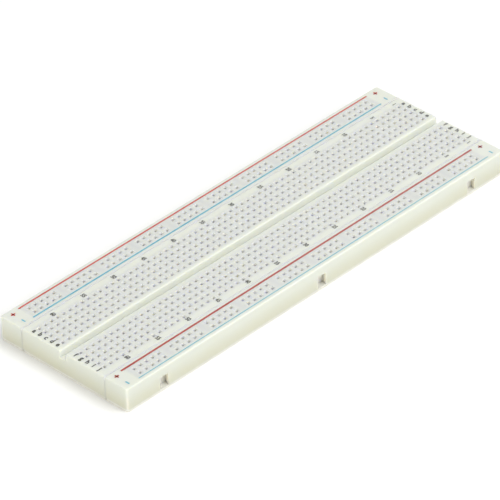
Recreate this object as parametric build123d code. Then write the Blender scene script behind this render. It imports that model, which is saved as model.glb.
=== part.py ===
from build123d import *
import os

# Solderless breadboard: one terminal block with two banks of five-hole columns and two
# power rails that hook onto its long sides.
# Frame: origin at the centre of the resting face, under the middle of the three mouldings.
# +X runs along the board towards column 1, +Y towards row a and the left rail, +Z is up.
# All sizes are in millimetres.

# ---- Mouldings -----------------------------------------------------------------------
end_margin = 3.81  # from the last column to the end of the board
terminal_side_margin = 3.78  # from row a or j to the side of the terminal block
rail_side_margin = 3.455  # from a rail row to the side of the rail
seam_clearance = 0.05  # air between two neighbouring mouldings
moulding_height = 7.65
foam_thickness = 0.75
liner_thickness = 0.10
corner_radius = 1.00  # upright corners of the assembled board
rim_radius = 0.40  # round the top of the assembled board

# ---- Hole grid -----------------------------------------------------------------------
pitch = 2.54
column_count = 63
rows_per_bank = 5
bank_spacing = 7.62  # from row e to row f
rail_row_spacing = 2.54
rail_group_count = 10
rail_group_size = 5
hole_width = 1.00
lead_in_width = 1.36
lead_in_depth = 0.42
top_wall = 1.50

# ---- Centre trough -------------------------------------------------------------------
trough_width = 2.60
trough_depth = 2.60
trough_edge_break = 0.30  # chamfer along the trough's top edges
trough_floor = 1.20
core_width = 2.80  # hollow under the trough floor
core_count = 5
core_rib = 1.20
core_end_wall = 3.20

# ---- Pockets and contact clips -------------------------------------------------------
pocket_width = 1.84
pocket_end_clearance = 0.15
clip_side_clearance = 0.07
clip_thickness = 0.20
leaf_width = 1.80
knee_height = 1.60
leaf_top_clearance = 0.55  # from the leaves up to the pocket ceiling
pinch_drop = 0.80  # from the top of the leaves down to where they pinch the lead
pinch_gap = 0.16
mouth_gap = 1.00
clips_per_group = 5

# ---- Dovetail joints between mouldings -------------------------------------------------
dovetail_end_distance = 15.25  # from the end of the board to the outer dovetails
slot_mouth = 3.50
slot_back = 4.60
slot_depth = 2.00
slot_cover = 3.25  # plastic left above each slot
tab_clearance = 0.10
tab_lift = 0.75  # the tabs start this far above the underside of the moulding

# ---- Foam and liner --------------------------------------------------------------------
foam_inset = 0.10
notch_clearance = 0.20

# ---- Worked out from the above ---------------------------------------------------------
board_length = (column_count - 1) * pitch + 2 * end_margin
terminal_width = bank_spacing + 2 * (rows_per_bank - 1) * pitch + 2 * terminal_side_margin
rail_width = rail_row_spacing + 2 * rail_side_margin
dovetail_reach = board_length / 2 - dovetail_end_distance
dovetail_places = (-dovetail_reach, 0, dovetail_reach)
foam_bottom = liner_thickness
underside = liner_thickness + foam_thickness
top_face = underside + moulding_height
pocket_ceiling = top_face - top_wall
leaf_height = pocket_ceiling - underside - leaf_top_clearance
slot_top = top_face - slot_cover
rail_offset = terminal_width / 2 + seam_clearance + rail_width / 2


def block(x_low, x_high, y_low, y_high, z_low, z_high):
    """A box given by its lowest and highest corners."""
    size = (x_high - x_low, y_high - y_low, z_high - z_low)
    centre = ((x_low + x_high) / 2, (y_low + y_high) / 2, (z_low + z_high) / 2)
    return Pos(*centre) * Box(*size)


def column_x(column):
    """Column 1 is at the +X end."""
    return ((column_count + 1) / 2 - column) * pitch


def bank_centre(side):
    """Middle row of a bank: side is +1 for rows a to e, -1 for rows f to j."""
    return side * (bank_spacing / 2 + (rows_per_bank - 1) / 2 * pitch)


def rail_columns():
    """Positions along X of the holes in one rail row, in groups with one place left out."""
    group_pitch = (rail_group_size + 1) * pitch
    span = (rail_group_count - 1) * group_pitch + (rail_group_size - 1) * pitch
    places = []
    for group in range(rail_group_count):
        for hole in range(rail_group_size):
            places.append(-span / 2 + group * group_pitch + hole * pitch)
    return places


# ---- Building the mouldings ------------------------------------------------------------


def moulding_blank(width, outer_side):
    """The plain outer block of a moulding, centred on Y = 0.

    outer_side is +1 or -1 where that long side is an outside of the board, or 0 for none.
    Edges along a seam stay sharp, so that two mouldings meet in a fine line.
    """
    half_length = board_length / 2
    blank = block(-half_length, half_length, -width / 2, width / 2, underside, top_face)
    blank = round_corners(blank, outer_side, corner_radius)
    top_edges = blank.faces().sort_by(Axis.Z)[-1].edges()
    seam_sides = [side for side in (1, -1) if side != outer_side]
    rim = [e for e in top_edges if not any(on_side(e, width, side) for side in seam_sides)]
    return fillet(rim, rim_radius)


def round_corners(solid, outer_side, radius):
    """Rounds the upright corners on an outer long side; outer_side as for moulding_blank."""
    if not outer_side:
        return solid
    upright = solid.edges().filter_by(Axis.Z)
    return fillet([e for e in upright if e.center().Y * outer_side > 0], radius)


def on_side(edge, width, side):
    """True where an edge lies in the long side at Y = side * width / 2."""
    return abs(edge.center().Y - side * width / 2) < 1e-6


def hole_cutter():
    """One square tie-point hole with its funnel, centred on X = Y = 0."""
    funnel = loft(
        [
            Pos(0, 0, top_face - lead_in_depth) * Rectangle(hole_width, hole_width),
            Pos(0, 0, top_face) * Rectangle(lead_in_width, lead_in_width),
        ]
    )
    half = hole_width / 2
    shaft = block(-half, half, -half, half, pocket_ceiling - 0.1, top_face - lead_in_depth)
    return funnel + shaft


def dovetail(mouth, back, depth, z_low, z_high):
    """A prism that starts on Y = 0 and widens towards +Y."""
    outline = Polygon(
        (-mouth / 2, 0),
        (mouth / 2, 0),
        (back / 2, depth),
        (-back / 2, depth),
        align=None,
    )
    return extrude(Pos(0, 0, z_low) * outline, amount=z_high - z_low)


def add_dovetails(moulding, width):
    """Cuts the slots into the -Y side and grows the tabs on the +Y side."""
    slot = dovetail(slot_mouth, slot_back, slot_depth, underside, slot_top)
    tab = dovetail(
        slot_mouth - 2 * tab_clearance,
        slot_back - 2 * tab_clearance,
        slot_depth - tab_clearance,
        underside + tab_lift,
        slot_top - tab_clearance,
    )
    slots = [Pos(x, -width / 2, 0) * slot for x in dovetail_places]
    tabs = [Pos(x, width / 2, 0) * tab for x in dovetail_places]
    return moulding - slots + tabs


def terminal_block_housing():
    """The wide centre moulding: two banks of pockets, a trough and a hollow under it."""
    housing = add_dovetails(moulding_blank(terminal_width, 0), terminal_width)

    half_length = board_length / 2
    trough_bottom = top_face - trough_depth
    lip = trough_width / 2 + trough_edge_break
    section = Polygon(
        (-trough_width / 2, trough_bottom),
        (trough_width / 2, trough_bottom),
        (trough_width / 2, top_face - trough_edge_break),
        (lip, top_face),
        (-lip, top_face),
        (-trough_width / 2, top_face - trough_edge_break),
        align=None,
    )
    trough = Plane.YZ.offset(-half_length) * section
    cutters = [extrude(trough, amount=board_length)]

    core_half = half_length - core_end_wall
    core_length = (2 * core_half - (core_count - 1) * core_rib) / core_count
    for number in range(core_count):
        start = -core_half + number * (core_length + core_rib)
        cutters.append(
            block(
                start, start + core_length,
                -core_width / 2, core_width / 2,
                underside, trough_bottom - trough_floor,
            )
        )

    hole = hole_cutter()
    pocket_half = clip_length(rows_per_bank) / 2 + pocket_end_clearance
    cell = block(
        -pocket_width / 2, pocket_width / 2,
        -pocket_half, pocket_half,
        underside, pocket_ceiling,
    )
    middle_row = (rows_per_bank - 1) / 2
    for row in range(rows_per_bank):
        cell += Pos(0, (row - middle_row) * pitch, 0) * hole

    for column in range(1, column_count + 1):
        for side in (1, -1):
            cutters.append(Pos(column_x(column), bank_centre(side), 0) * cell)
    return housing - cutters


def rail_housing(side):
    """One power rail: two rows of grouped holes over two long bus channels."""
    rail = add_dovetails(moulding_blank(rail_width, side), rail_width)

    hole = hole_cutter()
    places = rail_columns()
    channel_half = bus_length() / 2 + pocket_end_clearance
    cutters = []
    for row in (1, -1):
        row_y = row * rail_row_spacing / 2
        channel = block(
            -channel_half, channel_half,
            row_y - pocket_width / 2, row_y + pocket_width / 2,
            underside, pocket_ceiling,
        )
        cutters.append(channel)
        cutters += [Pos(x, row_y, 0) * hole for x in places]
    return Pos(0, side * rail_offset, 0) * (rail - cutters)


# ---- Building the contacts -------------------------------------------------------------


def clip_length(leaf_pairs):
    """Length of a contact strip with this many leaf pairs one pitch apart."""
    return (leaf_pairs - 1) * pitch + leaf_width


def bus_length():
    places = rail_columns()
    return places[-1] - places[0] + leaf_width


def leaf_pair():
    """Two spring leaves rising from a base and pinching a lead, centred on X = Y = 0."""
    base_half = pocket_width / 2 - clip_side_clearance
    pinch_height = leaf_height - pinch_drop
    right_side = [
        (base_half, 0),
        (base_half, knee_height),
        (pinch_gap / 2 + clip_thickness, pinch_height),
        (mouth_gap / 2 + clip_thickness, leaf_height),
        (mouth_gap / 2, leaf_height),
        (pinch_gap / 2, pinch_height),
        (base_half - clip_thickness, knee_height),
        (base_half - clip_thickness, clip_thickness),
    ]
    left_side = [(-x, z) for x, z in reversed(right_side)]
    outline = Plane.XZ * Polygon(*right_side, *left_side, align=None)
    return Pos(0, leaf_width / 2, underside) * extrude(outline, amount=leaf_width)


def contact_strip(places):
    """A spine along Y with a leaf pair at each place, open side up."""
    base_half = pocket_width / 2 - clip_side_clearance
    spine = block(
        -base_half, base_half,
        places[0] - leaf_width / 2, places[-1] + leaf_width / 2,
        underside, underside + clip_thickness,
    )
    leaves = leaf_pair()
    return spine + [Pos(0, y, 0) * leaves for y in places]


def clip_groups():
    """Node names and solids of the column clips, a few columns to a node."""
    middle_row = (rows_per_bank - 1) / 2
    clip = contact_strip([(row - middle_row) * pitch for row in range(rows_per_bank)])
    nodes = {}
    for bank_name, side in (("a_e", 1), ("f_j", -1)):
        for first in range(1, column_count + 1, clips_per_group):
            last = min(first + clips_per_group - 1, column_count)
            clips = []
            for column in range(first, last + 1):
                clips.append(Pos(column_x(column), bank_centre(side), 0) * clip)
            nodes[f"clips_{bank_name}_{first:02d}_{last:02d}"] = Compound(children=clips)
    return nodes


def bus_strips():
    """The four long power contacts, one under each rail row."""
    strip = Rot(0, 0, 90) * contact_strip(rail_columns())
    nodes = {}
    for rail_name, side in (("left", 1), ("right", -1)):
        for row_name, row in (("plus", 1), ("minus", -1)):
            y = side * rail_offset + row * rail_row_spacing / 2
            nodes[f"bus_strip_{rail_name}_{row_name}"] = Pos(0, y, 0) * strip
    return nodes


# ---- Building the foam backing and release liners --------------------------------------


def backing_sheet(width, outer_side, z_low, z_high, notched):
    """A flat sheet under one moulding; notches let the neighbour's tabs pass."""
    half_length = board_length / 2 - foam_inset
    half_width = width / 2 - foam_inset
    sheet = block(-half_length, half_length, -half_width, half_width, z_low, z_high)
    sheet = round_corners(sheet, outer_side, corner_radius - foam_inset)
    if notched:
        notch_half = slot_back / 2 + notch_clearance
        notch_depth = slot_depth + notch_clearance
        notch = block(
            -notch_half, notch_half,
            -width / 2, -width / 2 + notch_depth,
            z_low, z_high,
        )
        sheet -= [Pos(x, 0, 0) * notch for x in dovetail_places]
    return Pos(0, outer_side * rail_offset, 0) * sheet


def backing():
    """Foam pad and liner of each moulding; nothing hooks into the right rail's slots."""
    nodes = {}
    mouldings = (
        ("terminal_block", terminal_width, 0, True),
        ("left_rail", rail_width, 1, True),
        ("right_rail", rail_width, -1, False),
    )
    for name, width, side, notched in mouldings:
        nodes[f"foam_pad_{name}"] = backing_sheet(width, side, foam_bottom, underside, notched)
        nodes[f"release_liner_{name}"] = backing_sheet(width, side, 0, foam_bottom, notched)
    return nodes


# ---- Write every node ------------------------------------------------------------------

nodes = {
    "terminal_block_housing": terminal_block_housing(),
    "left_rail_housing": rail_housing(1),
    "right_rail_housing": rail_housing(-1),
}
nodes.update(clip_groups())
nodes.update(bus_strips())
nodes.update(backing())

os.makedirs("parts", exist_ok=True)
for name, shape in nodes.items():
    export_step(shape, f"parts/{name}.step")
print(f"{len(nodes)} nodes written")
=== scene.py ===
"""Studio scene of a solderless breadboard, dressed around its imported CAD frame.

Every length is in metres and every place comes from the frame: +X runs along the board towards
column 1, +Y towards row a and the left rail, and the board rests on Z = 0.
"""

from __future__ import annotations

import logging
import math
from dataclasses import dataclass, field
from enum import Enum
from typing import Callable, Sequence

import bmesh
import bpy
from mathutils import Matrix, Vector, noise


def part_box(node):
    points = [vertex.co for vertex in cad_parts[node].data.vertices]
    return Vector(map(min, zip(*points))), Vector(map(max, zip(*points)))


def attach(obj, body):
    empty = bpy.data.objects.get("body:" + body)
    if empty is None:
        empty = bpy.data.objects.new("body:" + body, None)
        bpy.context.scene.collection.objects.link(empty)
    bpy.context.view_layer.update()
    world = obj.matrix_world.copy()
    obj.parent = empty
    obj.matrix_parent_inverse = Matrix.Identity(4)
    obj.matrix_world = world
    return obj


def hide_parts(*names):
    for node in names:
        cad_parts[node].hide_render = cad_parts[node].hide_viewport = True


Colour = tuple[float, float, float]
Socket = bpy.types.NodeSocket

LOG = logging.getLogger("breadboard")
MM = 0.001
FLATNESS = 0.001 * MM

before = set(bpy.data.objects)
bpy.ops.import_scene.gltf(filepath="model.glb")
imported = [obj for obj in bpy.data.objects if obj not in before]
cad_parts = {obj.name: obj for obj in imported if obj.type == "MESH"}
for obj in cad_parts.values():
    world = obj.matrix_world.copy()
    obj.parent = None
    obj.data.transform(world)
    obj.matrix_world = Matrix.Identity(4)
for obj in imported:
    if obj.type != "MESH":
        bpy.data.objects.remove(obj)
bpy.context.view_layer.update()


class Body(Enum):
    """The three bodies that lift apart."""

    LEFT_RAIL = "left_rail"
    TERMINAL_BLOCK = "terminal_block"
    RIGHT_RAIL = "right_rail"


# ---- The board's printed and moulded layout ------------------------------------------------


@dataclass(frozen=True)
class Layout:
    """Where the tie points and the moulded parts lie.

    Attributes:
        pitch: Distance from one tie point to the next.
        columns: Number of tie-point columns.
        rows_per_bank: Rows of holes on each side of the trough.
        bank_spacing: From row e to row f.
        rail_row_spacing: Between the two hole rows of a power rail.
        number_step: Columns between two printed numbers.
    """

    pitch: float = 2.54 * MM
    columns: int = 63
    rows_per_bank: int = 5
    bank_spacing: float = 7.62 * MM
    rail_row_spacing: float = 2.54 * MM
    number_step: int = 5

    def column_x(self, column: int) -> float:
        """Place along X of a column, with column 1 at the +X end."""
        return ((self.columns + 1) / 2 - column) * self.pitch

    def row_y(self, row: int) -> float:
        """Finds a row's place along Y.

        Args:
            row: The row, counted from 0 for row a to 9 for row j.

        Returns:
            Its place.
        """
        inner = self.bank_spacing / 2
        if row < self.rows_per_bank:
            return inner + (self.rows_per_bank - 1 - row) * self.pitch
        return -inner - (row - self.rows_per_bank) * self.pitch

    def numbered_columns(self) -> list[int]:
        """The columns that carry a printed number."""
        tens = range(self.number_step, self.columns + 1, self.number_step)
        return [1, *tens]

    def rail_centre(self, body: Body) -> float:
        """Finds the middle of a power rail along Y.

        Args:
            body: The rail.

        Returns:
            Its middle, without the tabs.
        """
        low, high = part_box(f"{body.value}_housing")
        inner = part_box("terminal_block_housing")[0].y
        if body is Body.RIGHT_RAIL:
            return (low.y + inner) / 2
        return -self.rail_centre(Body.RIGHT_RAIL)


LAYOUT = Layout()


# ---- Shader helpers ------------------------------------------------------------------------


class NodeTree:
    """A thin wrapper that adds nodes and links to a shader tree."""

    def __init__(self, tree: bpy.types.NodeTree) -> None:
        """Keeps a material's or group's node tree."""
        self.tree = tree
        self.column = 0

    def add(self, kind: str, **settings: object) -> bpy.types.Node:
        """Adds a node.

        Args:
            kind: Blender's node type name.
            **settings: Attributes set on the node.

        Returns:
            The new node.
        """
        node = self.tree.nodes.new(kind)
        self.column += 1
        node.location = (self.column * 180, 0)
        for name, value in settings.items():
            setattr(node, name, value)
        return node

    def link(self, source: Socket, target: Socket) -> None:
        """Links an output socket to an input socket."""
        self.tree.links.new(source, target)

    def feed(self, target: Socket, value: object) -> None:
        """Links a socket or sets a plain value.

        Args:
            target: The input socket.
            value: Another node's output socket, or a number, vector or colour.
        """
        if isinstance(value, bpy.types.NodeSocket):
            self.link(value, target)
        else:
            target.default_value = value

    def math(self, operation: str, *values: object, clamp: bool = False) -> Socket:
        """Adds a Math node.

        Args:
            operation: Blender's operation name.
            *values: One value or socket for each input.
            clamp: True to keep the result from 0 to 1.

        Returns:
            The result socket.
        """
        node = self.add("ShaderNodeMath", operation=operation, use_clamp=clamp)
        for number, value in enumerate(values):
            self.feed(node.inputs[number], value)
        return node.outputs[0]

    def remap(self, value: Socket, low: float, high: float, to: tuple[float, float]) -> Socket:
        """Maps a range of a value smoothly onto another range.

        Args:
            value: The socket to read.
            low: Start of the input range.
            high: End of the input range.
            to: Start and end of the output range.

        Returns:
            The mapped value.
        """
        node = self.add("ShaderNodeMapRange", interpolation_type="SMOOTHSTEP")
        self.link(value, node.inputs["Value"])
        node.inputs["From Min"].default_value = low
        node.inputs["From Max"].default_value = high
        node.inputs["To Min"].default_value = to[0]
        node.inputs["To Max"].default_value = to[1]
        return node.outputs["Result"]

    def mix(self, factor: object, first: object, second: object) -> Socket:
        """Mixes two colours.

        Args:
            factor: Socket or number, 0 for the first colour and 1 for the second.
            first: Colour or socket.
            second: Colour or socket.

        Returns:
            The mixed colour.
        """
        node = self.add("ShaderNodeMix", data_type="RGBA")
        self.feed(node.inputs["Factor"], factor)
        for name, value in (("A", first), ("B", second)):
            socket = next(s for s in node.inputs if s.name == name and s.type == "RGBA")
            self.feed(socket, opaque(value))
        return next(s for s in node.outputs if s.type == "RGBA")

    def axes(self, vector: Socket) -> tuple[Socket, ...]:
        """Splits a vector into its parts.

        Args:
            vector: The vector's socket.

        Returns:
            Its X, Y and Z sockets.
        """
        node = self.add("ShaderNodeSeparateXYZ")
        self.link(vector, node.inputs[0])
        return tuple(node.outputs)

    def stretch(self, place: Socket, scale: tuple[float, float, float]) -> Socket:
        """Scales a place along each axis, which draws out a texture that is read there.

        Args:
            place: The place to scale.
            scale: Factor along each axis; under 1 draws the texture out.

        Returns:
            The scaled place.
        """
        node = self.add("ShaderNodeMapping")
        self.link(place, node.inputs["Vector"])
        node.inputs["Scale"].default_value = scale
        return node.outputs[0]

    def noise(self, place: Socket, scale: object, detail: float, roughness: float = 0.5) -> Socket:
        """Adds a Noise texture.

        Args:
            place: Where to read it.
            scale: Features per metre.
            detail: Octaves.
            roughness: Strength of the finer octaves.

        Returns:
            The noise value, about 0.5 on average.
        """
        node = self.add("ShaderNodeTexNoise")
        self.link(place, node.inputs["Vector"])
        self.feed(node.inputs["Scale"], scale)
        node.inputs["Detail"].default_value = detail
        node.inputs["Roughness"].default_value = roughness
        return node.outputs["Fac"]


def opaque(value: object) -> object:
    """Adds alpha to a plain colour and passes a socket through.

    Args:
        value: A colour of three numbers, or a socket.

    Returns:
        A colour of four numbers, or the socket.
    """
    if isinstance(value, tuple) and len(value) == 3:
        return (*value, 1.0)
    return value


@dataclass(frozen=True)
class Effect:
    """A shader node group that several finishes share.

    Attributes:
        name: The group's name.
        inputs: Input names with their socket type and default.
        outputs: Output names with their socket type.
        build: Fills the group, given the tree and its input and output nodes.
    """

    name: str
    inputs: tuple[tuple[str, str, object], ...]
    outputs: tuple[tuple[str, str], ...]
    build: Callable[[NodeTree, bpy.types.Node, bpy.types.Node], None]

    def group(self) -> bpy.types.NodeTree:
        """Finds the group, and builds it the first time.

        Returns:
            The group's tree.
        """
        found = bpy.data.node_groups.get(self.name)
        if found:
            return found
        tree = bpy.data.node_groups.new(self.name, "ShaderNodeTree")
        for name, kind, default in self.inputs:
            socket = tree.interface.new_socket(name=name, in_out="INPUT", socket_type=kind)
            socket.default_value = default
        for name, kind in self.outputs:
            tree.interface.new_socket(name=name, in_out="OUTPUT", socket_type=kind)
        nodes = NodeTree(tree)
        source = nodes.add("NodeGroupInput")
        result = nodes.add("NodeGroupOutput")
        self.build(nodes, source, result)
        return tree

    def place(self, nodes: NodeTree, **values: object) -> bpy.types.Node:
        """Puts the group into a material.

        Args:
            nodes: The material's tree.
            **values: Input values or sockets, with underscores for spaces.

        Returns:
            The group node.
        """
        node = nodes.add("ShaderNodeGroup", node_tree=self.group())
        for name, value in values.items():
            nodes.feed(node.inputs[name.replace("_", " ").capitalize()], value)
        return node


def build_grain(nodes: NodeTree, source: bpy.types.Node, result: bpy.types.Node) -> None:
    """Spark-eroded mould grain: fine peaks over a slow mottle.

    Args:
        nodes: The group's tree.
        source: The group's input node.
        result: The group's output node.
    """
    place = source.outputs["Place"]
    fine = nodes.noise(place, source.outputs["Grain per metre"], 3.0, 0.6)
    slow = nodes.noise(place, source.outputs["Mottle per metre"], 2.0)
    nodes.link(fine, result.inputs["Height"])
    nodes.link(nodes.remap(slow, 0.3, 0.7, (0.0, 1.0)), result.inputs["Mottle"])


GRAIN = Effect(
    name="moulded_grain",
    inputs=(
        ("Place", "NodeSocketVector", (0.0, 0.0, 0.0)),
        ("Grain per metre", "NodeSocketFloat", 6000.0),
        ("Mottle per metre", "NodeSocketFloat", 60.0),
    ),
    outputs=(("Height", "NodeSocketFloat"), ("Mottle", "NodeSocketFloat")),
    build=build_grain,
)


def build_edge(nodes: NodeTree, source: bpy.types.Node, result: bpy.types.Node) -> None:
    """Wear and painted shade along the outer edges of a box-shaped piece, and where its upright
    sides are.

    The mask is 1 where the second nearest of the box's faces is within reach, which is only
    true beside an edge, and noise breaks it up. The side output is 1 on the upright sides.

    Args:
        nodes: The group's tree.
        source: The group's input node.
        result: The group's output node.
    """
    places = nodes.axes(source.outputs["Place"])
    centres = nodes.axes(source.outputs["Centre"])
    halves = nodes.axes(source.outputs["Half size"])
    gaps = []
    for place, centre, half in zip(places, centres, halves):
        reach = nodes.math("ABSOLUTE", nodes.math("SUBTRACT", place, centre))
        gaps.append(nodes.math("SUBTRACT", half, reach))
    least = nodes.math("MINIMUM", nodes.math("MINIMUM", gaps[0], gaps[1]), gaps[2])
    most = nodes.math("MAXIMUM", nodes.math("MAXIMUM", gaps[0], gaps[1]), gaps[2])
    total = nodes.math("ADD", nodes.math("ADD", gaps[0], gaps[1]), gaps[2])
    second = nodes.math("SUBTRACT", nodes.math("SUBTRACT", total, least), most)
    share = nodes.math("DIVIDE", second, source.outputs["Width"])
    near = nodes.math("SUBTRACT", 1.0, share, clamp=True)
    broken = nodes.noise(source.outputs["Place"], source.outputs["Breaks per metre"], 3.0, 0.65)
    patches = nodes.remap(broken, 0.42, 0.66, (0.0, 1.0))
    nodes.link(nodes.math("MULTIPLY", near, patches, clamp=True), result.inputs["Mask"])
    upright = nodes.math("DIVIDE", nodes.math("MINIMUM", gaps[0], gaps[1]), source.outputs["Width"])
    nodes.link(nodes.math("SUBTRACT", 1.0, upright, clamp=True), result.inputs["Side"])


EDGE = Effect(
    name="edge_wear",
    inputs=(
        ("Place", "NodeSocketVector", (0.0, 0.0, 0.0)),
        ("Centre", "NodeSocketVector", (0.0, 0.0, 0.0)),
        ("Half size", "NodeSocketVector", (1.0, 1.0, 1.0)),
        ("Width", "NodeSocketFloat", 0.0004),
        ("Breaks per metre", "NodeSocketFloat", 400.0),
    ),
    outputs=(("Mask", "NodeSocketFloat"), ("Side", "NodeSocketFloat")),
    build=build_edge,
)


def build_speck(nodes: NodeTree, source: bpy.types.Node, result: bpy.types.Node) -> None:
    """Sparse small specks, such as dust or pinholes in ink.

    Args:
        nodes: The group's tree.
        source: The group's input node.
        result: The group's output node.
    """
    cells = nodes.add("ShaderNodeTexVoronoi", feature="F1")
    nodes.link(source.outputs["Place"], cells.inputs["Vector"])
    nodes.link(source.outputs["Specks per metre"], cells.inputs["Scale"])
    dots = nodes.math("LESS_THAN", cells.outputs["Distance"], source.outputs["Radius"])
    chosen = nodes.add("ShaderNodeSeparateColor")
    nodes.link(cells.outputs["Color"], chosen.inputs[0])
    kept = nodes.math("LESS_THAN", chosen.outputs[0], source.outputs["Share"])
    nodes.link(nodes.math("MULTIPLY", dots, kept), result.inputs["Mask"])


SPECK = Effect(
    name="specks",
    inputs=(
        ("Place", "NodeSocketVector", (0.0, 0.0, 0.0)),
        ("Specks per metre", "NodeSocketFloat", 1200.0),
        ("Radius", "NodeSocketFloat", 0.2),
        ("Share", "NodeSocketFloat", 0.1),
    ),
    outputs=(("Mask", "NodeSocketFloat"),),
    build=build_speck,
)


def build_show_through(nodes: NodeTree, source: bpy.types.Node, result: bpy.types.Node) -> None:
    """Painted shade: the grey cast where pockets and their metal lie close under a translucent
    wall.

    The zone is a rectangle with soft sides, mirrored across Y = 0, and is a little lighter over
    the ribs between two pockets.

    Args:
        nodes: The group's tree.
        source: The group's input node.
        result: The group's output node.
    """
    x, y, _ = nodes.axes(source.outputs["Place"])
    along = nodes.math("ABSOLUTE", x)
    across = nodes.math("ABSOLUTE", y)
    off_centre = nodes.math("SUBTRACT", across, source.outputs["Zone centre"])
    gap_x = nodes.math("SUBTRACT", source.outputs["Half length"], along)
    gap_y = nodes.math("SUBTRACT", source.outputs["Half width"], nodes.math("ABSOLUTE", off_centre))
    nearest = nodes.math("MINIMUM", gap_x, gap_y)
    share = nodes.math("DIVIDE", nearest, source.outputs["Softness"])
    zone = nodes.math("ADD", share, 0.5, clamp=True)
    turns = nodes.math("DIVIDE", x, source.outputs["Rib pitch"])
    wave = nodes.math("COSINE", nodes.math("MULTIPLY", turns, math.tau))
    rib_strength = 0.12
    ribs = nodes.math("MULTIPLY_ADD", wave, rib_strength, 1.0 - rib_strength)
    nodes.link(nodes.math("MULTIPLY", zone, ribs), result.inputs["Mask"])


POCKET_SHADE = Effect(
    name="pockets_showing_through",
    inputs=(
        ("Place", "NodeSocketVector", (0.0, 0.0, 0.0)),
        ("Zone centre", "NodeSocketFloat", 0.0),
        ("Half length", "NodeSocketFloat", 0.08),
        ("Half width", "NodeSocketFloat", 0.006),
        ("Softness", "NodeSocketFloat", 0.0012),
        ("Rib pitch", "NodeSocketFloat", 0.00254),
    ),
    outputs=(("Mask", "NodeSocketFloat"),),
    build=build_show_through,
)


# ---- Finishes ------------------------------------------------------------------------------


@dataclass(frozen=True)
class Finish:
    """Base of every finish: a named material with one Principled shader.

    Attributes:
        name: The material's name.
    """

    name: str

    def material(self) -> bpy.types.Material:
        """Finds the material, and builds it the first time.

        Returns:
            The material.
        """
        found = bpy.data.materials.get(self.name)
        if found:
            return found
        made = bpy.data.materials.new(self.name)
        made.use_nodes = True
        made.node_tree.nodes.clear()
        nodes = NodeTree(made.node_tree)
        shader = nodes.add("ShaderNodeBsdfPrincipled")
        output = nodes.add("ShaderNodeOutputMaterial")
        nodes.link(shader.outputs[0], output.inputs["Surface"])
        self.dress(nodes, shader)
        return made

    def dress(self, nodes: NodeTree, shader: bpy.types.Node) -> None:
        """Fills the shader; each finish has its own."""
        raise NotImplementedError

    @staticmethod
    def place(nodes: NodeTree) -> Socket:
        """The point on the piece, in metres in the board's frame."""
        return nodes.add("ShaderNodeTexCoord").outputs["Object"]

    @staticmethod
    def bump(nodes: NodeTree, shader: bpy.types.Node, height: Socket, rise: float) -> None:
        """Raises the surface.

        Args:
            nodes: The material's tree.
            shader: The Principled node.
            height: Height from 0 to 1.
            rise: What a height of 1 stands for, in metres.
        """
        node = nodes.add("ShaderNodeBump")
        node.inputs["Distance"].default_value = rise
        node.inputs["Strength"].default_value = 1.0
        nodes.link(height, node.inputs["Height"])
        nodes.link(node.outputs["Normal"], shader.inputs["Normal"])


@dataclass(frozen=True)
class PocketZone:
    """Where pockets lie under a moulding's top face.

    Attributes:
        centre: Distance of the zone's middle from Y = 0; the zone is mirrored.
        half_length: Half of its size along X.
        half_width: Half of its size along Y.
    """

    centre: float
    half_length: float
    half_width: float


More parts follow.
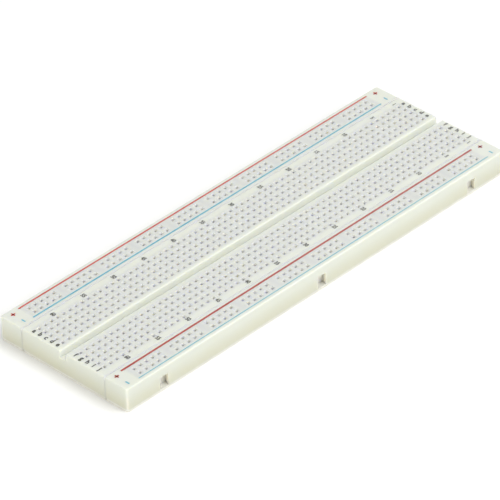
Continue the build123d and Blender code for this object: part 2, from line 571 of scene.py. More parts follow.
@dataclass(frozen=True)
class MouldedPlastic(Finish):
    """Translucent off-white ABS with a fine mould grain and painted light and shade, its sides
    painted darker and warmer low down.

    Attributes:
        centre: Middle of the moulding's box.
        half_size: Half of the moulding's box.
        pockets: Where the painted shade of the pockets lies on the top.
        tone: The plain colour.
        cloudy: The colour where the melt is a little cloudier.
        side_tone: Painted shade at the top of the upright sides.
        foot_tone: Painted shade at the foot of the upright sides, darker and warmer.
        hollow: Painted shade over the pockets.
        cavity: The colour inside the trough. This and the next three are lighter than the
            plastic itself and stand in for the light that thin walls carry inside.
        hole_wall: The colour inside the tie points.
        slot_wall: The colour inside the dovetail slots and the pockets.
        seam_wall: The colour of the upper walls of the seams between two mouldings.
        worn: The colour of rubbed edges, also painted darker as shade that dims their highlight.
        dust: The colour of settled dust.
        mouth_fade: Depths between which a hole or the trough takes its inner colour.
        slot_roof: Height of the top of the dovetail slots.
        slot_fade: How far the slots' colour fades above and below their roof.
        seam_place: Distance of the seams from Y = 0.
        seam_reach: Half width of the seams' colour.
        seam_depth: How deep the seams' colour goes.
        wear_reach: How far the rubbed, painted-shade edges reach in.
        wear_strength: Share of the rubbed, painted-shade colour on them.
        wear_roughness: How much rougher they are.
        dust_strength: Share of the dust's colour in a speck.
        scatter: How far light travels in the plastic.
        scatter_shares: The shares of that which red, green and blue light travel.
        refraction: Index of refraction.
        gloss: Strength of the surface reflection; 0.5 is the plain one.
        roughness: Roughness from the clearest to the cloudiest plastic.
        grain_rise: Height of the mould grain.
    """

    name: str
    centre: tuple[float, float, float]
    half_size: tuple[float, float, float]
    pockets: PocketZone
    tone: Colour = (0.735, 0.757, 0.690)
    cloudy: Colour = (0.720, 0.742, 0.672)
    # Painted shade on the upright sides, deepening towards the foot.
    side_tone: Colour = (0.700, 0.725, 0.655)
    foot_tone: Colour = (0.630, 0.630, 0.505)
    # Painted shade over the pockets.
    hollow: Colour = (0.638, 0.653, 0.637)
    # Painted light inside the trough, the tie points and the slots, lighter than the plastic.
    cavity: Colour = (0.782, 0.798, 0.742)
    hole_wall: Colour = (0.765, 0.765, 0.770)
    slot_wall: Colour = (0.855, 0.830, 0.745)
    # Painted light on the upper walls of the seams.
    seam_wall: Colour = (0.960, 0.960, 0.940)
    # Rubbed edges, painted darker as well as shade that dims their highlight.
    worn: Colour = (0.670, 0.685, 0.610)
    dust: Colour = (0.60, 0.59, 0.55)
    mouth_fade: tuple[float, float] = (0.05 * MM, 0.4 * MM)
    slot_roof: float = 5.25 * MM
    slot_fade: float = 0.2 * MM
    seam_place: float = 17.78 * MM
    seam_reach: float = 0.15 * MM
    seam_depth: float = 1.5 * MM
    wear_reach: float = 0.35 * MM
    wear_strength: float = 0.5
    wear_roughness: float = 0.15
    dust_strength: float = 0.3
    scatter: float = 1.2 * MM
    scatter_shares: Colour = (1.0, 0.95, 0.75)
    refraction: float = 1.53
    gloss: float = 0.4
    roughness: tuple[float, float] = (0.48, 0.56)
    grain_rise: float = 0.006 * MM

    def dress(self, nodes: NodeTree, shader: bpy.types.Node) -> None:
        """Fills the shader with grain, mottle, painted light and shade, rubbed edges and a little
        dust.

        Args:
            nodes: The material's tree.
            shader: The Principled node.
        """
        place = self.place(nodes)
        grain = GRAIN.place(nodes, place=place, grain_per_metre=5200.0, mottle_per_metre=70.0)
        edge = EDGE.place(
            nodes,
            place=place,
            centre=self.centre,
            half_size=self.half_size,
            width=self.wear_reach,
            breaks_per_metre=350.0,
        )
        colour = nodes.mix(grain.outputs["Mottle"], self.tone, self.cloudy)
        colour = self.hollows(nodes, place, colour)
        colour = self.sides(nodes, place, edge.outputs["Side"], colour)
        # Rubbed edges, painted darker as well as shade that dims their highlight.
        wear_and_shade = nodes.math("MULTIPLY", edge.outputs["Mask"], self.wear_strength)
        colour = nodes.mix(wear_and_shade, colour, self.worn)
        speck = SPECK.place(nodes, place=place, specks_per_metre=700.0, radius=0.07, share=0.12)
        dusty = nodes.math("MULTIPLY", speck.outputs["Mask"], self.dust_strength)
        nodes.link(nodes.mix(dusty, colour, self.dust), shader.inputs["Base Color"])
        rough = nodes.remap(grain.outputs["Mottle"], 0.0, 1.0, self.roughness)
        scuffed = nodes.math("MULTIPLY", edge.outputs["Mask"], self.wear_roughness)
        nodes.link(nodes.math("ADD", rough, scuffed), shader.inputs["Roughness"])
        self.bump(nodes, shader, grain.outputs["Height"], self.grain_rise)
        shader.inputs["Subsurface Weight"].default_value = 1.0
        shader.inputs["Subsurface Radius"].default_value = self.scatter_shares
        shader.inputs["Subsurface Scale"].default_value = self.scatter
        shader.inputs["IOR"].default_value = self.refraction
        shader.inputs["Specular IOR Level"].default_value = self.gloss

    def top(self) -> float:
        """Height of the moulding's top face."""
        return self.centre[2] + self.half_size[2]

    def hollows(self, nodes: NodeTree, place: Socket, colour: Socket) -> Socket:
        """Paints shade over the pockets and paints light inside the holes, trough and slots.

        Args:
            nodes: The material's tree.
            place: The point on the piece.
            colour: The colour so far.

        Returns:
            The colour with the hollows.
        """
        height = nodes.axes(place)[2]
        under = POCKET_SHADE.place(
            nodes,
            place=place,
            zone_centre=self.pockets.centre,
            half_length=self.pockets.half_length,
            half_width=self.pockets.half_width,
        )
        # Painted shade over the pockets.
        colour = nodes.mix(under.outputs["Mask"], colour, self.hollow)
        shallow, deep = self.mouth_fade
        sunk = nodes.remap(height, self.top() - deep, self.top() - shallow, (1.0, 0.0))
        # Painted light inside the trough and the tie points.
        colour = nodes.mix(sunk, colour, self.cavity)
        in_hole = nodes.math("MULTIPLY", sunk, under.outputs["Mask"])
        colour = nodes.mix(in_hole, colour, self.hole_wall)
        # Painted light inside the slots and the pockets, below the slots' roof.
        low, high = self.slot_roof - self.slot_fade, self.slot_roof + self.slot_fade
        in_slot = nodes.remap(height, low, high, (1.0, 0.0))
        return nodes.mix(in_slot, colour, self.slot_wall)

    def sides(self, nodes: NodeTree, place: Socket, side: Socket, colour: Socket) -> Socket:
        """Paints shade on the upright sides, darker and warmer towards the foot, and paints light
        on the seams' top.

        Args:
            nodes: The material's tree.
            place: The point on the piece.
            side: 1 on the upright sides.
            colour: The colour so far.

        Returns:
            The colour with the sides.
        """
        _, y, height = nodes.axes(place)
        bottom = self.centre[2] - self.half_size[2]
        lowness = nodes.remap(height, bottom, self.top(), (1.0, 0.0))
        # Painted shade: the sides darker, and darker and warmer towards the foot.
        upright = nodes.mix(lowness, self.side_tone, self.foot_tone)
        colour = nodes.mix(side, colour, upright)
        across = nodes.math("ABSOLUTE", y)
        off_seam = nodes.math("ABSOLUTE", nodes.math("SUBTRACT", across, self.seam_place))
        at_seam = nodes.math("LESS_THAN", off_seam, self.seam_reach)
        near_top = nodes.remap(height, self.top() - self.seam_depth, self.top(), (0.0, 1.0))
        # Painted light on the upper walls of the seams.
        return nodes.mix(nodes.math("MULTIPLY", at_seam, near_top), colour, self.seam_wall)


@dataclass(frozen=True)
class PrintInk(Finish):
    """Pad-printed ink, slightly uneven with pinholes that let the plastic show.

    Attributes:
        ink: Colour of the full film.
        thin: Colour where the film is thin.
        faded: How much paler the print is made towards the +X end, from 0 to 1.
        bare: Colour of the plastic under it.
        pinhole_strength: Share of the plastic's colour in a pinhole.
        roughness: Roughness from the full to the thin film.
        grain_rise: Height of the film's grain.
    """

    name: str
    ink: Colour
    thin: Colour
    faded: float = 0.1
    bare: Colour = (0.735, 0.757, 0.690)
    pinhole_strength: float = 0.8
    roughness: tuple[float, float] = (0.38, 0.55)
    grain_rise: float = 0.003 * MM

    def dress(self, nodes: NodeTree, shader: bpy.types.Node) -> None:
        """Fills the shader with an uneven film.

        Args:
            nodes: The material's tree.
            shader: The Principled node.
        """
        place = self.place(nodes)
        grain = GRAIN.place(nodes, place=place, grain_per_metre=4000.0, mottle_per_metre=500.0)
        colour = nodes.mix(grain.outputs["Mottle"], self.ink, self.thin)
        holes = SPECK.place(nodes, place=place, specks_per_metre=5200.0, radius=0.22, share=0.12)
        pinholes = nodes.math("MULTIPLY", holes.outputs["Mask"], self.pinhole_strength)
        colour = nodes.mix(pinholes, colour, self.bare)
        # The print is made paler towards the +X end.
        reach = LAYOUT.column_x(1)
        paling_mask = nodes.remap(nodes.axes(place)[0], -reach, reach, (0.0, self.faded))
        colour = nodes.mix(paling_mask, colour, self.bare)
        nodes.link(colour, shader.inputs["Base Color"])
        rough = nodes.remap(grain.outputs["Mottle"], 0.0, 1.0, self.roughness)
        nodes.link(rough, shader.inputs["Roughness"])
        self.bump(nodes, shader, grain.outputs["Height"], self.grain_rise)


@dataclass(frozen=True)
class PlatedSpring(Finish):
    """Nickel-plated phosphor bronze with rolling lines and bronze where the plating is thin.

    Attributes:
        nickel: Colour of the plating.
        bronze: Colour under it.
        most_bare: Most of the bronze that shows where the plating is thin.
        roughness: Roughness across the rolling lines.
        line_stretch: How the noise is scaled so that it draws out into rolling lines.
        line_rise: Height of the rolling lines.
    """

    name: str
    nickel: Colour = (0.72, 0.70, 0.66)
    bronze: Colour = (0.62, 0.47, 0.33)
    most_bare: float = 0.45
    roughness: tuple[float, float] = (0.22, 0.42)
    line_stretch: tuple[float, float, float] = (1.0, 1.0, 0.06)
    line_rise: float = 0.004 * MM

    def dress(self, nodes: NodeTree, shader: bpy.types.Node) -> None:
        """Fills the shader with a rolled strip's lines and patchy plating.

        Args:
            nodes: The material's tree.
            shader: The Principled node.
        """
        place = self.place(nodes)
        rolled = nodes.stretch(place, self.line_stretch)
        lines = nodes.noise(rolled, scale=9000.0, detail=3.0, roughness=0.6)
        grain = GRAIN.place(nodes, place=place, grain_per_metre=7000.0, mottle_per_metre=400.0)
        bare = nodes.remap(grain.outputs["Mottle"], 0.6, 1.0, (0.0, self.most_bare))
        nodes.link(nodes.mix(bare, self.nickel, self.bronze), shader.inputs["Base Color"])
        nodes.link(nodes.remap(lines, 0.3, 0.7, self.roughness), shader.inputs["Roughness"])
        self.bump(nodes, shader, lines, self.line_rise)
        shader.inputs["Metallic"].default_value = 1.0


@dataclass(frozen=True)
class ClosedCellFoam(Finish):
    """White closed-cell foam tape with shaded burst cells.

    Attributes:
        tone: The plain colour.
        shade: The colour between the cells.
        cells_per_metre: How small the cells are.
        roughness: Roughness from a cell's middle to its edge.
        cell_rise: Height of the cells.
    """

    name: str
    tone: Colour = (0.80, 0.80, 0.745)
    shade: Colour = (0.66, 0.65, 0.58)
    cells_per_metre: float = 5500.0
    roughness: tuple[float, float] = (0.8, 0.95)
    cell_rise: float = 0.03 * MM

    def dress(self, nodes: NodeTree, shader: bpy.types.Node) -> None:
        """Fills the shader with cells and a soft shading between them.

        Args:
            nodes: The material's tree.
            shader: The Principled node.
        """
        place = self.place(nodes)
        cells = nodes.add("ShaderNodeTexVoronoi", feature="SMOOTH_F1")
        nodes.link(place, cells.inputs["Vector"])
        cells.inputs["Scale"].default_value = self.cells_per_metre
        depth = nodes.remap(cells.outputs["Distance"], 0.1, 0.8, (0.0, 1.0))
        grain = GRAIN.place(nodes, place=place, grain_per_metre=9000.0, mottle_per_metre=150.0)
        uneven = nodes.remap(grain.outputs["Mottle"], 0.0, 1.0, (0.4, 1.0))
        open_cell = nodes.math("MULTIPLY", depth, uneven)
        nodes.link(nodes.mix(open_cell, self.tone, self.shade), shader.inputs["Base Color"])
        nodes.link(nodes.remap(depth, 0.0, 1.0, self.roughness), shader.inputs["Roughness"])
        self.bump(nodes, shader, depth, self.cell_rise)


@dataclass(frozen=True)
class ReleasePaper(Finish):
    """Waxed paper with short fibres and a score line along its middle, where it peels.

    Attributes:
        middle: Place of the score line along Y.
        tone: The plain colour.
        fibre: The colour of the fibres.
        cut: The colour of the score line.
        score_width: Half width of the score line.
        fibre_stretch: How the noise is scaled so that it draws out into fibres.
        roughness: Roughness of the wax and of a bare fibre.
        fibre_rise: Height of the fibres, and depth of the score line.
    """

    name: str
    middle: float
    tone: Colour = (0.80, 0.76, 0.64)
    fibre: Colour = (0.70, 0.65, 0.52)
    cut: Colour = (0.45, 0.40, 0.30)
    score_width: float = 0.06 * MM
    fibre_stretch: tuple[float, float, float] = (1.0, 0.25, 1.0)
    roughness: tuple[float, float] = (0.38, 0.6)
    fibre_rise: float = 0.01 * MM

    def dress(self, nodes: NodeTree, shader: bpy.types.Node) -> None:
        """Fills the shader with fibres under a thin wax film.

        Args:
            nodes: The material's tree.
            shader: The Principled node.
        """
        place = self.place(nodes)
        drawn_out = nodes.stretch(place, self.fibre_stretch)
        strands = nodes.noise(drawn_out, scale=2600.0, detail=4.0, roughness=0.7)
        marks = nodes.remap(strands, 0.5, 0.75, (0.0, 1.0))
        grain = GRAIN.place(nodes, place=place, grain_per_metre=6000.0, mottle_per_metre=120.0)
        tint = nodes.mix(grain.outputs["Mottle"], self.tone, self.fibre)
        tint = nodes.mix(marks, tint, self.fibre)
        offset = nodes.math("SUBTRACT", nodes.axes(place)[1], self.middle)
        score = nodes.remap(nodes.math("ABSOLUTE", offset), 0.0, self.score_width, (1.0, 0.0))
        nodes.link(nodes.mix(score, tint, self.cut), shader.inputs["Base Color"])
        nodes.link(nodes.remap(marks, 0.0, 1.0, self.roughness), shader.inputs["Roughness"])
        self.bump(nodes, shader, nodes.math("SUBTRACT", strands, score), self.fibre_rise)


@dataclass(frozen=True)
class StudioFloor(Finish):
    """Plain pale board that the breadboard stands on.

    Attributes:
        tone: The plain colour.
        shade: The colour of its faint mottle.
        roughness: Its roughness.
        gloss: Strength of the surface reflection; 0.5 is the plain one.
    """

    name: str
    tone: Colour = (0.98, 0.98, 0.98)
    shade: Colour = (0.97, 0.97, 0.968)
    roughness: float = 0.9
    gloss: float = 0.1

    def dress(self, nodes: NodeTree, shader: bpy.types.Node) -> None:
        """Fills the shader with a faint paper mottle.

        Args:
            nodes: The material's tree.
            shader: The Principled node.
        """
        place = self.place(nodes)
        slow = nodes.noise(place, scale=6.0, detail=2.0)
        nodes.link(nodes.mix(slow, self.tone, self.shade), shader.inputs["Base Color"])
        shader.inputs["Roughness"].default_value = self.roughness
        shader.inputs["Specular IOR Level"].default_value = self.gloss


# ---- Dressing the CAD frame ----------------------------------------------------------------


def middle_and_half(node: str) -> tuple[tuple[float, ...], tuple[float, ...]]:
    """Returns the middle and half size of a CAD node's box."""
    low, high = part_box(node)
    return tuple((low + high) / 2), tuple((high - low) / 2)


def give_finish(piece: bpy.types.Object, finish: Finish) -> None:
    """Puts one finish on every slot of a piece.

    Args:
        piece: A CAD node's object or a new piece.
        finish: The finish.
    """
    made = finish.material()
    if not piece.material_slots:
        piece.data.materials.append(made)
    for place in piece.material_slots:
        place.material = made


@dataclass
class Mouldings:
    """The three plastic housings.

    Attributes:
        pocket_margin: How far the pockets reach past the outer tie points.
    """

    pocket_margin: float = 1.4 * MM

    def build(self) -> list[str]:
        """Dresses each housing.

        Returns:
            The housings' names.
        """
        names = []
        for body in Body:
            node = f"{body.value}_housing"
            middle, half = self.body_box(node)
            finish = MouldedPlastic(f"plastic_{body.value}", middle, half, self.pockets(body))
            give_finish(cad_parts[node], finish)
            names.append(node)
        return names

    def pockets(self, body: Body) -> PocketZone:
        """Finds where a body's pockets lie.

        Args:
            body: The body.

        Returns:
            The zone that its pockets take up.
        """
        if body is Body.TERMINAL_BLOCK:
            inner, outer = LAYOUT.row_y(LAYOUT.rows_per_bank - 1), LAYOUT.row_y(0)
            reach = LAYOUT.column_x(1)
        else:
            middle = LAYOUT.rail_centre(Body.LEFT_RAIL)
            inner = middle - LAYOUT.rail_row_spacing / 2
            outer = middle + LAYOUT.rail_row_spacing / 2
            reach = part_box("bus_strip_left_plus")[1].x
        half_width = (outer - inner) / 2 + self.pocket_margin
        return PocketZone((inner + outer) / 2, reach + self.pocket_margin, half_width)

    @staticmethod
    def body_box(node: str) -> tuple[tuple[float, ...], tuple[float, ...]]:
        """Measures a housing without its tabs, which stand out on the +Y side.

        Args:
            node: The housing's name.

        Returns:
            The middle and the half size of its box.
        """
        low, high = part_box(node)
        if node == "terminal_block_housing":
            high.y = -low.y
        elif node == "left_rail_housing":
            high.y = -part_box("right_rail_housing")[0].y
        else:
            high.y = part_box("terminal_block_housing")[0].y
        return tuple((low + high) / 2), tuple((high - low) / 2)


@dataclass
class Contacts:
    """The column clips and bus strips.

    Attributes:
        prefixes: How their nodes' names start.
    """

    prefixes: tuple[str, ...] = ("clips_", "bus_strip_")

    def build(self) -> list[str]:
        """Plates every contact.

        Returns:
            The contacts' names.
        """
        finish = PlatedSpring("plated_contact_spring")
        names = [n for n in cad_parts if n.startswith(self.prefixes)]
        for name in names:
            give_finish(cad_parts[name], finish)
        return names


@dataclass
class Liners:
    """The release liners under the foam.

    Attributes:
        prefix: How their nodes' names start.
    """

    prefix: str = "release_liner_"

    def build(self) -> list[str]:
        """Dresses the liners.

        Returns:
            The liners' names.
        """
        names = [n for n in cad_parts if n.startswith(self.prefix)]
        for name in names:
            middle, _ = middle_and_half(name)
            give_finish(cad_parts[name], ReleasePaper(f"{name}_paper", middle[1]))
        return names


@dataclass
class FoamPads:
    """Foam tape under each moulding, cut with a knife so that its sides waver a little.

    Attributes:
        step: Distance between points along the cut.
        waver: Most that the cut strays inwards.
        waver_length: Length of one waver.
        waist: How far the cut side draws in at half height.
        levels: Rows of points up the side.
        slot: Not used.
    """

    step: float = 0.5 * MM
    waver: float = 0.05 * MM
    waver_length: float = 4.0 * MM
    waist: float = 0.06 * MM
    levels: int = 5
    slot: str = "backing_foam"

    def build(self) -> list[str]:
        """Makes a pad for each body.

        Returns:
            The pads' names.
        """
        finish = ClosedCellFoam("closed_cell_foam")
        names = []
        for body in Body:
            node = f"foam_pad_{body.value}"
            name = f"foam_tape_{body.value}"
            made = new_piece(name, self.pad(node), finish)
            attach(made, body.value)
            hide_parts(node)
            names.append(name)
        return names

    def pad(self, node: str) -> bmesh.types.BMesh:
        """Builds a pad in the space of its CAD node.

        Args:
            node: The CAD node's name.

        Returns:
            The pad's mesh.
        """
        low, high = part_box(node)
        outline = self.resampled(top_outline(node, high.z))
        mesh = bmesh.new()
        rings = []
        for level in range(self.levels):
            rise = level / (self.levels - 1)
            inset = self.waist * math.sin(math.pi * rise)
            z = low.z + (high.z - low.z) * rise
            rings.append(self.ring(mesh, outline, z, inset))
        for lower, upper in zip(rings, rings[1:]):
            for number in range(len(lower)):
                after = (number + 1) % len(lower)
                mesh.faces.new((lower[number], lower[after], upper[after], upper[number]))
        mesh.faces.new(list(reversed(rings[0])))
        mesh.faces.new(rings[-1])
        return mesh

    def ring(
        self, mesh: bmesh.types.BMesh, outline: list[Vector], z: float, inset: float
    ) -> list[bmesh.types.BMVert]:
        """Adds one ring of points at a height.

        Args:
            mesh: Where it goes.
            outline: The corner points, counter-clockwise.
            z: Height of the ring.
            inset: How far it is drawn in.

        Returns:
            The ring's points in order.
        """
        ring = []
        for number, point in enumerate(outline):
            before = outline[number - 1]
            after = outline[(number + 1) % len(outline)]
            along = (after - before).normalized()
            inward = Vector((-along.y, along.x, 0.0))
            spot = Vector((point.x, point.y, z)) / self.waver_length
            stray = self.waver * (0.5 + 0.5 * noise.noise(spot))
            ring.append(mesh.verts.new(Vector((point.x, point.y, z)) + inward * (inset + stray)))
        return ring

    def resampled(self, outline: list[Vector]) -> list[Vector]:
        """Splits an outline's long sides into short steps.

        Args:
            outline: The corners in order.

        Returns:
            The corners with the points between them.
        """
        points = []
        for number, start in enumerate(outline):
            end = outline[(number + 1) % len(outline)]
            count = max(1, round((end - start).length / self.step))
            points += [start.lerp(end, k / count) for k in range(count)]
        return points


def top_outline(node: str, z: float) -> list[Vector]:
    """Returns the corners of a flat CAD node's top face, counter-clockwise.

    Args:
        node: The CAD node's name.
        z: Height of the top face.

    Returns:
        The corners in order, from the one that is farthest towards -X.
    """
    mesh = bmesh.new()
    mesh.from_mesh(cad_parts[node].data)
    bmesh.ops.remove_doubles(mesh, verts=mesh.verts, dist=FLATNESS)
    top = {f for f in mesh.faces if all(abs(v.co.z - z) < FLATNESS for v in f.verts)}
    onward = {}
    for face in top:
        for loop in face.loops:
            if not any(f in top for f in loop.edge.link_faces if f is not face):
                onward[loop.vert] = loop.link_loop_next.vert
    first = min(onward, key=lambda corner: corner.co.to_tuple())
    corners = [first.co.copy()]
    here = onward[first]
    while here is not first:
        corners.append(here.co.copy())
        here = onward[here]
    mesh.free()
    return corners


def new_piece(name: str, mesh: bmesh.types.BMesh, finish: Finish) -> bpy.types.Object:
    """Turns a built mesh into a finished object.

    Args:
        name: The object's name.
        mesh: Its shape, which this frees.
        finish: Its finish.

    Returns:
        The new object, in the scene.
    """
    bmesh.ops.recalc_face_normals(mesh, faces=mesh.faces)
    data = bpy.data.meshes.new(name)
    mesh.to_mesh(data)
    mesh.free()
    made = bpy.data.objects.new(name, data)
    bpy.context.scene.collection.objects.link(made)
    give_finish(made, finish)
    return made


# ---- Printed marks -------------------------------------------------------------------------


@dataclass(frozen=True)
class Film:
    """How a print is laid down.

    Attributes:
        thickness: Film thickness above the plastic.
    """

    thickness: float = 0.012 * MM

    def top(self) -> float:
        """Height of the plastic's top face."""
        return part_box("terminal_block_housing")[1].z

    def piece(self, name: str, body: Body, mesh: bmesh.types.BMesh, finish: Finish) -> None:
        """Makes a printed piece that rides on a body.

        Args:
            name: The piece's name.
            body: What it is printed on.
            mesh: The print, which this frees.
            finish: Its ink.
        """
        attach(new_piece(name, mesh, finish), body.value)


FILM = Film()


def rounded_bar(
    mesh: bmesh.types.BMesh, start: Vector, end: Vector, width: float, thickness: float
) -> None:
    """Adds a flat bar with rounded ends and corners.

    Args:
        mesh: Where it goes.
        start: Centre of one end, at the bar's underside.
        end: Centre of the other end.
        width: Width of the bar.
        thickness: Height above the underside.
    """
    along = (end - start).normalized()
    across = Vector((-along.y, along.x, 0.0))
    steps = 6
    outline = []
    for tip, first in ((end, -90.0), (start, 90.0)):
        for step in range(steps + 1):
            angle = math.radians(first + 180.0 * step / steps)
            out = along * math.cos(angle) + across * math.sin(angle)
            outline.append(tip + out * width / 2)
    lower = [mesh.verts.new(p) for p in outline]
    upper = [mesh.verts.new(p + Vector((0, 0, thickness))) for p in outline]
    mesh.faces.new(list(reversed(lower)))
    mesh.faces.new(upper)
    for number in range(len(outline)):
        following = (number + 1) % len(outline)
        mesh.faces.new((lower[number], lower[following], upper[following], upper[number]))


@dataclass
class Lettering:
    """Sets printed characters that read along -Y with their tops towards +X.

    Attributes:
        height: Height of a digit, along X.
        widen: Width of the characters as a share of the plain font's.
        boldness: How far outlines are thickened, in the plain font's units.
        curve_steps: Straight steps in each curve of an outline.
        digit_height: Height of the plain font's digits at size 1.
    """

    height: float
    widen: float = 0.8
    boldness: float = 0.03
    curve_steps: int = 4
    digit_height: float = 0.73

    def add(self, mesh: bmesh.types.BMesh, text: str, x: float, y: float) -> None:
        """Adds a word centred on a place.

        Args:
            mesh: Where it goes.
            text: What it says.
            x: Middle of the word along X.
            y: Middle of the word along Y.
        """
        glyphs = self.glyphs(text)
        reach = [v.co.x for v in glyphs.vertices]
        middle = (min(reach) + max(reach)) / 2
        underside = min(v.co.z for v in glyphs.vertices)
        scale = self.height / self.digit_height
        turn = Matrix.Rotation(math.radians(-90.0), 4, "Z")
        size = Matrix.Diagonal((scale * self.widen, scale, FILM.thickness, 1.0))
        origin = Matrix.Translation((-middle, -self.digit_height / 2, -underside))
        place = Matrix.Translation((x, y, FILM.top()))
        glyphs.transform(place @ turn @ size @ origin)
        mesh.from_mesh(glyphs)
        bpy.data.meshes.remove(glyphs)

    def glyphs(self, text: str) -> bpy.types.Mesh:
        """Sets a word in the plain font at size 1, one unit thick.

        Args:
            text: What it says.

        Returns:
            Its mesh, which the caller removes.
        """
        curve = bpy.data.curves.new("glyphs", "FONT")
        curve.body = text
        curve.size = 1.0
        curve.resolution_u = self.curve_steps
        curve.offset = self.boldness
        curve.extrude = 0.5
        holder = bpy.data.objects.new("glyphs", curve)
        bpy.context.scene.collection.objects.link(holder)
        bpy.context.view_layer.update()
        evaluated = holder.evaluated_get(bpy.context.evaluated_depsgraph_get())
        made = bpy.data.meshes.new_from_object(evaluated)
        bpy.data.objects.remove(holder)
        bpy.data.curves.remove(curve)
        return made


@dataclass
class TerminalMarks:
    """Column numbers and row letters on the terminal block.

    Attributes:
        number_gap: From row a or j out to the middle of the numbers.
        last_letters_x: Place of the letters along X at the last column's end.
        first_letters_x: Places of letters a to e and f to j at the first column's end.
        numbers: How the numbers are set.
        last_letters: How the letters at the last column's end are set.
        first_letters: How the letters at the first column's end are set.
    """

    number_gap: float = 2.0 * MM
    last_letters_x: tuple[float, float] = (-80.5 * MM, -80.5 * MM)
    first_letters_x: tuple[float, float] = (81.2 * MM, 81.3 * MM)
    numbers: Lettering = field(default_factory=lambda: Lettering(1.5 * MM))
    last_letters: Lettering = field(default_factory=lambda: Lettering(1.8 * MM, 0.9, 0.035))
    first_letters: Lettering = field(default_factory=lambda: Lettering(1.5 * MM, 1.15, 0.045))

    def build(self) -> list[str]:
        """Prints the marks.

        Returns:
            The prints' names.
        """
        ink = PrintInk("black_ink", (0.05, 0.05, 0.045), (0.10, 0.10, 0.09), faded=0.15)
        names = []
        for side, row in (("left", 0), ("right", 2 * LAYOUT.rows_per_bank - 1)):
            mesh = bmesh.new()
            y = LAYOUT.row_y(row)
            y += math.copysign(self.number_gap, y)
            for column in LAYOUT.numbered_columns():
                self.numbers.add(mesh, str(column), LAYOUT.column_x(column), y)
            names.append(f"column_numbers_{side}")
            FILM.piece(names[-1], Body.TERMINAL_BLOCK, mesh, ink)
        ends = (
            ("first", self.first_letters, self.first_letters_x),
            ("last", self.last_letters, self.last_letters_x),
        )
        for end, letters, places in ends:
            mesh = bmesh.new()
            for row in range(2 * LAYOUT.rows_per_bank):
                x = places[row // LAYOUT.rows_per_bank]
                letters.add(mesh, chr(ord("a") + row), x, LAYOUT.row_y(row))
            names.append(f"row_letters_{end}_column_end")
            FILM.piece(names[-1], Body.TERMINAL_BLOCK, mesh, ink)
        return names


@dataclass
class RailMarks:
    """Polarity lines and signs on one power rail.

    Attributes:
        body: The rail.
        line_offset: From the middle of the rail to a line.
        line_widths: Width of the plus line and of the minus line.
        line_start: Ends of the plus line and of the minus line towards -X.
        line_end: Their ends towards +X.
        sign_offset: From the middle of the rail to a sign.
        sign_x: Places of the signs along X.
        sign_size: Length of a sign's stroke.
        sign_width: Width of a sign's stroke.
        red: Ink of the plus line and signs.
        blue: Ink of the minus line and signs.
    """

    body: Body
    line_offset: float = 3.2 * MM
    line_widths: tuple[float, float] = (0.55 * MM, 0.50 * MM)
    line_start: tuple[float, float] = (-76.0 * MM, -76.0 * MM)
    line_end: tuple[float, float] = (76.0 * MM, 76.0 * MM)
    sign_offset: float = 2.25 * MM
    sign_x: tuple[float, float] = (-79.3 * MM, 79.3 * MM)
    sign_size: float = 1.7 * MM
    sign_width: float = 0.5 * MM
    red: PrintInk = PrintInk("red_ink", (0.52, 0.055, 0.04), (0.60, 0.11, 0.085))
    blue: PrintInk = PrintInk("blue_ink", (0.06, 0.38, 0.52), (0.15, 0.47, 0.58))

    def build(self) -> list[str]:
        """Prints the lines and signs.

        Returns:
            The prints' names.
        """
        centre = LAYOUT.rail_centre(self.body)
        names = []
        prints = (("plus", 1, self.red), ("minus", -1, self.blue))
        for number, (word, side, ink) in enumerate(prints):
            line = bmesh.new()
            y = centre + side * self.line_offset
            start, end = (self.line_start[number], y), (self.line_end[number], y)
            self.bar(line, start, end, self.line_widths[number])
            names.append(f"{self.body.value}_{word}_line")
            FILM.piece(names[-1], self.body, line, ink)
            signs = bmesh.new()
            for x in self.sign_x:
                self.add_sign(signs, word, x, centre + side * self.sign_offset)
            names.append(f"{self.body.value}_{word}_signs")
            FILM.piece(names[-1], self.body, signs, ink)
        return names

    def bar(
        self,
        mesh: bmesh.types.BMesh,
        start: tuple[float, float],
        end: tuple[float, float],
        width: float,
    ) -> None:
        """Adds a printed stroke between two points of the top face."""
        top = FILM.top()
        rounded_bar(mesh, Vector((*start, top)), Vector((*end, top)), width, FILM.thickness)

    def add_sign(self, mesh: bmesh.types.BMesh, word: str, x: float, y: float) -> None:
        """Adds a plus or minus sign.

        Args:
            mesh: Where it goes.
            word: "plus" or "minus".
            x: Middle of the sign along X.
            y: Middle of the sign along Y.
        """
        half = (self.sign_size - self.sign_width) / 2
        self.bar(mesh, (x, y - half), (x, y + half), self.sign_width)
        if word == "plus":
            self.bar(mesh, (x - half, y), (x + half, y), self.sign_width)


# ---- Studio --------------------------------------------------------------------------------


@dataclass(frozen=True)
class Softbox:
    """A square studio lamp aimed at the board.

    Attributes:
        name: Its name.
        place: Where it stands.
        power: Its power in watts.
        colour: Its colour.
        side: Side of its square face.
    """

    name: str
    place: tuple[float, float, float]
    power: float
    colour: Colour = (1.0, 1.0, 1.0)
    side: float = 1.0

    def build(self) -> None:
        """Makes the lamp."""
        data = bpy.data.lights.new(self.name, "AREA")
        data.shape = "SQUARE"
        data.size = self.side
        data.energy = self.power
        data.color = self.colour
        made = bpy.data.objects.new(self.name, data)
        made.location = self.place
        made.rotation_mode = "QUATERNION"
        made.rotation_quaternion = Vector(self.place).to_track_quat("Z", "Y")
        bpy.context.scene.collection.objects.link(made)


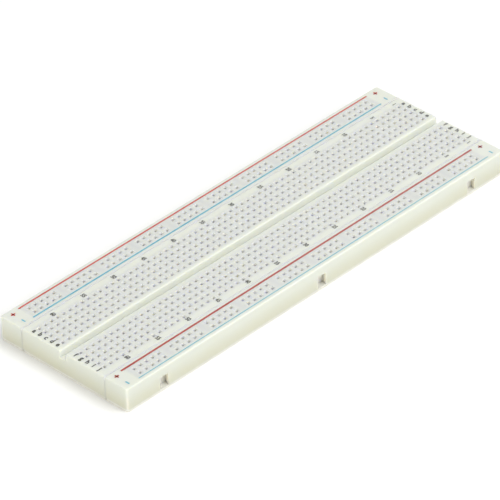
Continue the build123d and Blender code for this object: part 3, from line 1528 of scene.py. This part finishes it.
@dataclass
class Studio:
    """Floor, lights and surround.

    Attributes:
        floor_side: Side of the floor sheet.
        surround_strength: Brightness of the even surround.
        lamps: The softboxes.
    """

    floor_side: float = 6.0
    surround_strength: float = 0.25
    lamps: tuple[Softbox, ...] = (
        Softbox("overhead_softbox", (0.5, 0.1, 1.2), 7.4, side=1.2),
        Softbox("front_softbox", (0.25, -1.0, 1.0), 14.2),
        Softbox("end_softbox", (-1.4, -0.1, 0.6), 10.6, (1.0, 0.985, 0.93)),
    )

    def build(self) -> list[str]:
        """Makes the floor, surround and lamps.

        Returns:
            Their names.
        """
        self.floor()
        self.surround()
        for lamp in self.lamps:
            lamp.build()
        return ["studio_floor", "studio_surround", *(lamp.name for lamp in self.lamps)]

    def floor(self) -> None:
        """A pale board, which isn't part of the object."""
        mesh = bmesh.new()
        bmesh.ops.create_grid(mesh, x_segments=8, y_segments=8, size=self.floor_side / 2)
        new_piece("studio_floor", mesh, StudioFloor("studio_floor_board"))

    def surround(self) -> None:
        """An even white surround."""
        scene = bpy.context.scene
        scene.world = bpy.data.worlds.new("studio_surround")
        scene.world.use_nodes = True
        background = scene.world.node_tree.nodes["Background"]
        background.inputs["Color"].default_value = (1.0, 1.0, 1.0, 1.0)
        background.inputs["Strength"].default_value = self.surround_strength
        scene.view_settings.view_transform = "Standard"


@dataclass
class ViewCamera:
    """The scene's camera.

    Attributes:
        target: The point in the middle of the view.
        azimuth: Degrees round the board; 0 looks along +Y.
        elevation: Degrees above the horizon.
        roll: Degrees that the camera is turned about its line of sight.
        distance: From the camera to the target.
        focal_length: In millimetres, on the sensor's width.
        sensor_width: In millimetres.
        clips: Nearest and farthest distance that is drawn.
    """

    target: Vector = field(default_factory=lambda: Vector((-4.2 * MM, -0.9 * MM, 4.25 * MM)))
    azimuth: float = -44.24
    elevation: float = 35.81
    roll: float = -2.33
    distance: float = 1.4376
    focal_length: float = 338.2
    sensor_width: float = 36.0
    clips: tuple[float, float] = (0.05, 20.0)

    def build(self) -> str:
        """Makes the camera the scene's own.

        Returns:
            Its name.
        """
        data = bpy.data.cameras.new("view_camera")
        data.lens = self.focal_length
        data.sensor_width = self.sensor_width
        data.clip_start, data.clip_end = self.clips
        made = bpy.data.objects.new("view_camera", data)
        made.matrix_world = self.stand()
        bpy.context.scene.collection.objects.link(made)
        bpy.context.scene.camera = made
        return made.name

    def stand(self) -> Matrix:
        """Works out where the camera stands and how it is turned.

        Returns:
            Its matrix in the board's frame.
        """
        azimuth = math.radians(self.azimuth)
        elevation = math.radians(self.elevation)
        back = Vector(
            (
                math.sin(azimuth) * math.cos(elevation),
                -math.cos(azimuth) * math.cos(elevation),
                math.sin(elevation),
            )
        )
        right = Vector((0, 0, 1)).cross(back).normalized()
        up = back.cross(right)
        turned = Matrix((right, up, back)).transposed()
        turned = turned @ Matrix.Rotation(math.radians(self.roll), 3, "Z")
        return Matrix.Translation(self.target + back * self.distance) @ turned.to_4x4()


def main() -> None:
    """Builds the camera, the studio and every sub-assembly in order."""
    logging.basicConfig(level=logging.INFO, format="%(name)s: %(message)s")
    LOG.info("camera %s", ViewCamera().build())
    right_rail = RailMarks(
        Body.RIGHT_RAIL,
        line_widths=(0.68 * MM, 0.34 * MM),
        line_start=(-76.9 * MM, -76.0 * MM),
        line_end=(76.0 * MM, 76.7 * MM),
        sign_x=(-79.8 * MM, 79.3 * MM),
        red=PrintInk("dense_red_ink", (0.37, 0.045, 0.035), (0.44, 0.09, 0.07)),
        blue=PrintInk("thin_blue_ink", (0.14, 0.46, 0.56), (0.22, 0.53, 0.61)),
    )
    left_rail = RailMarks(Body.LEFT_RAIL)
    housings = (Mouldings(), Contacts(), FoamPads(), Liners())
    for maker in (Studio(), *housings, TerminalMarks(), left_rail, right_rail):
        for name in maker.build():
            LOG.info("%s: %s", type(maker).__name__, name)


if __name__ == "__main__":
    main()
